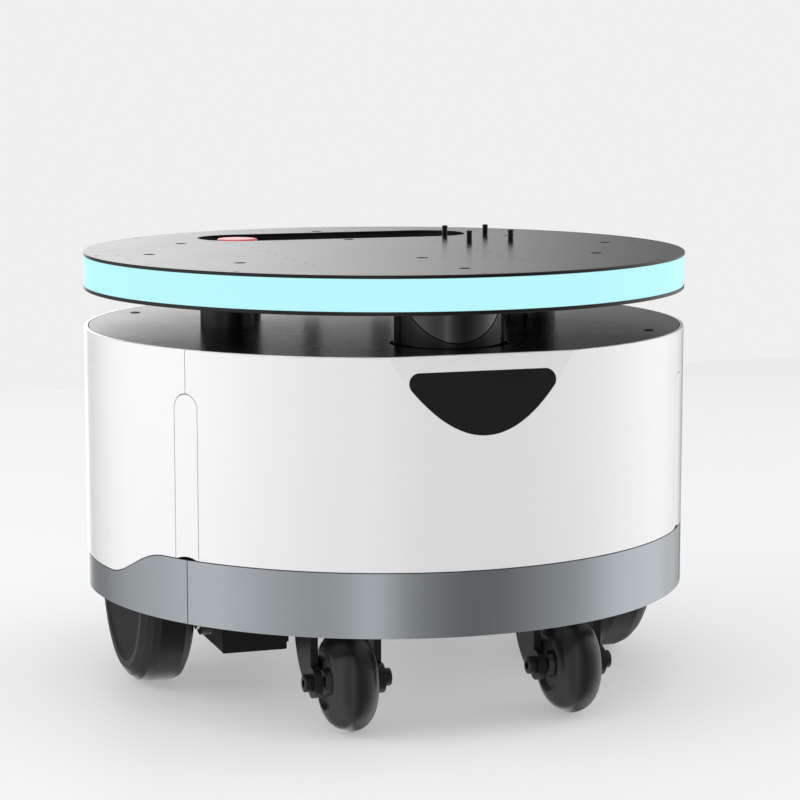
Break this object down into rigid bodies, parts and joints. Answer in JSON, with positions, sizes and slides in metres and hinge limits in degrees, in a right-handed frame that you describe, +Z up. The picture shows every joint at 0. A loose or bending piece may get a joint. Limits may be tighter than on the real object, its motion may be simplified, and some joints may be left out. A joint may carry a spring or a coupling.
{
  "type": "autonomous mobile robot base",
  "caption": "Round mobile robot base: drum body on sprung drive wheels and casters, with a laser scanner in the gap under a lit payload deck.",
  "frame": {"origin": "on the floor, under the middle of the round body", "axes": "+Z up, the front with the scanner and the sensor window faces -Y, the robot's left side is +X"},
  "size_m": [0.5, 0.5, 0.3667],
  "materials": {
    "white_shell": "satin white paint",
    "grey_skirt": "satin grey paint",
    "black_plate": "satin black paint",
    "base_plate": "milled",
    "posts": "turned",
    "pillars": "black anodised",
    "screws": "zinc plated",
    "inserts": "threaded sleeve",
    "window": "dark tinted acrylic",
    "camera": "black moulded case",
    "lidar_case": "black moulded case",
    "rotor": "black anodised",
    "charger": "black moulded block",
    "contacts": "polished",
    "diffuser": "frosted, lit from within",
    "carrier": "extruded ring",
    "tray": "satin black paint",
    "stop_body": "yellow collar",
    "stop_plunger": "moulded",
    "stop_head": "red moulded head",
    "bezel": "bright ring",
    "power_button": "satin cap",
    "sockets": "moulded",
    "battery": "moulded case",
    "controller": "anodised finned case",
    "drive_tyre": "solid rubber",
    "drive_hub": "black painted motor case",
    "drive_steel": "turned",
    "drive_arm": "black painted",
    "drive_housing": "black painted box",
    "spring": "spring wire",
    "caster_fork": "black pressed steel",
    "caster_wheel": "solid rubber",
    "caster_axle": "bolt"
  },
  "bodies": {
    "chassis": {"front_shell": "white_shell", "rear_shell": "white_shell", "left_side_panel": "white_shell", "right_side_panel": "white_shell", "front_skirt": "grey_skirt", "rear_skirt": "grey_skirt", "body_top_plate": "black_plate", "deck_top_plate": "black_plate", "deck_lower_plate": "black_plate", "base_plate": "base_plate", "frame_posts": "posts", "deck_pillars": "pillars", "top_plate_screws": "screws", "deck_screws": "screws", "deck_inserts": "inserts", "payload_studs": "inserts", "sensor_window": "window", "lidar_window": "window", "depth_camera": "camera", "lidar_case": "lidar_case", "charging_block": "charger", "charging_contacts": "contacts", "light_diffuser": "diffuser", "light_carrier_ring": "carrier", "control_tray": "tray", "emergency_stop_housing": "stop_body", "power_button_bezel": "bezel", "payload_sockets": "sockets", "battery_pack": "battery", "control_box": "controller", "arm_pivot_pins": "drive_steel", "left_drive_housing": "drive_housing", "right_drive_housing": "drive_housing", "left_drive_spring": "spring", "right_drive_spring": "spring", "caster_plates": "caster_fork"},
    "left_arm": {"left_drive_arm": "drive_arm", "left_drive_axle": "drive_steel"},
    "left_wheel": {"left_drive_tyre": "drive_tyre", "left_drive_hub": "drive_hub"},
    "right_arm": {"right_drive_arm": "drive_arm", "right_drive_axle": "drive_steel"},
    "right_wheel": {"right_drive_tyre": "drive_tyre", "right_drive_hub": "drive_hub"},
    "front_left_swivel": {"front_left_caster_fork": "caster_fork", "front_left_caster_axle": "caster_axle"},
    "front_left_roller": {"front_left_caster_wheel": "caster_wheel"},
    "front_right_swivel": {"front_right_caster_fork": "caster_fork", "front_right_caster_axle": "caster_axle"},
    "front_right_roller": {"front_right_caster_wheel": "caster_wheel"},
    "rear_left_swivel": {"rear_left_caster_fork": "caster_fork", "rear_left_caster_axle": "caster_axle"},
    "rear_left_roller": {"rear_left_caster_wheel": "caster_wheel"},
    "rear_right_swivel": {"rear_right_caster_fork": "caster_fork", "rear_right_caster_axle": "caster_axle"},
    "rear_right_roller": {"rear_right_caster_wheel": "caster_wheel"},
    "scanner": {"lidar_rotor": "rotor"},
    "stop_plunger": {"emergency_stop_plunger": "stop_plunger"},
    "stop_head": {"emergency_stop_button": "stop_head"},
    "power_key": {"power_button": "power_button"}
  },
  "joints": [
    {"name": "left_arm_pivot", "type": "hinge", "parent": "chassis", "child": "left_arm", "pos_m": [0.17, -0.06, 0.066], "axis": [1, 0, 0], "range_deg": [-3, 4], "stiffness_Nm_per_rad": 20, "springref_deg": -11.46, "deforming": ["left_drive_spring"]},
    {"name": "left_wheel_spin", "type": "hinge", "parent": "left_arm", "child": "left_wheel", "pos_m": [0.2, 0.018, 0.09], "axis": [1, 0, 0], "continuous": true},
    {"name": "right_arm_pivot", "type": "hinge", "parent": "chassis", "child": "right_arm", "pos_m": [-0.17, -0.06, 0.066], "axis": [1, 0, 0], "range_deg": [-3, 4], "stiffness_Nm_per_rad": 20, "springref_deg": -11.46, "deforming": ["right_drive_spring"]},
    {"name": "right_wheel_spin", "type": "hinge", "parent": "right_arm", "child": "right_wheel", "pos_m": [-0.2, 0.018, 0.09], "axis": [1, 0, 0], "continuous": true},
    {"name": "front_left_swivel_turn", "type": "hinge", "parent": "chassis", "child": "front_left_swivel", "pos_m": [0.0918, -0.16, 0.09], "axis": [0, 0, 1], "continuous": true},
    {"name": "front_left_roller_spin", "type": "hinge", "parent": "front_left_swivel", "child": "front_left_roller", "pos_m": [0.0918, -0.19, 0.04], "axis": [1, 0, 0], "continuous": true},
    {"name": "front_right_swivel_turn", "type": "hinge", "parent": "chassis", "child": "front_right_swivel", "pos_m": [-0.0918, -0.16, 0.09], "axis": [0, 0, 1], "continuous": true},
    {"name": "front_right_roller_spin", "type": "hinge", "parent": "front_right_swivel", "child": "front_right_roller", "pos_m": [-0.0918, -0.19, 0.04], "axis": [1, 0, 0], "continuous": true},
    {"name": "rear_left_swivel_turn", "type": "hinge", "parent": "chassis", "child": "rear_left_swivel", "pos_m": [0.0918, 0.16, 0.09], "axis": [0, 0, 1], "continuous": true},
    {"name": "rear_left_roller_spin", "type": "hinge", "parent": "rear_left_swivel", "child": "rear_left_roller", "pos_m": [0.0918, 0.13, 0.04], "axis": [1, 0, 0], "continuous": true},
    {"name": "rear_right_swivel_turn", "type": "hinge", "parent": "chassis", "child": "rear_right_swivel", "pos_m": [-0.0918, 0.16, 0.09], "axis": [0, 0, 1], "continuous": true},
    {"name": "rear_right_roller_spin", "type": "hinge", "parent": "rear_right_swivel", "child": "rear_right_roller", "pos_m": [-0.0918, 0.13, 0.04], "axis": [1, 0, 0], "continuous": true},
    {"name": "scanner_spin", "type": "hinge", "parent": "chassis", "child": "scanner", "pos_m": [0, -0.1635, 0.3], "axis": [0, 0, 1], "continuous": true},
    {"name": "stop_press", "type": "slide", "parent": "chassis", "child": "stop_plunger", "axis": [0, 0, -1], "range_m": [0, 0.005]},
    {"name": "stop_release_twist", "type": "hinge", "parent": "stop_plunger", "child": "stop_head", "pos_m": [-0.088, 0.1475, 0.35], "axis": [0, 0, -1], "range_deg": [0, 45], "stiffness_Nm_per_rad": 0.1, "springref_deg": -17.19},
    {"name": "power_press", "type": "slide", "parent": "chassis", "child": "power_key", "axis": [0, 0, -1], "range_m": [0, 0.002], "stiffness_N_per_m": 600, "springref_m": -0.003}
  ]
}
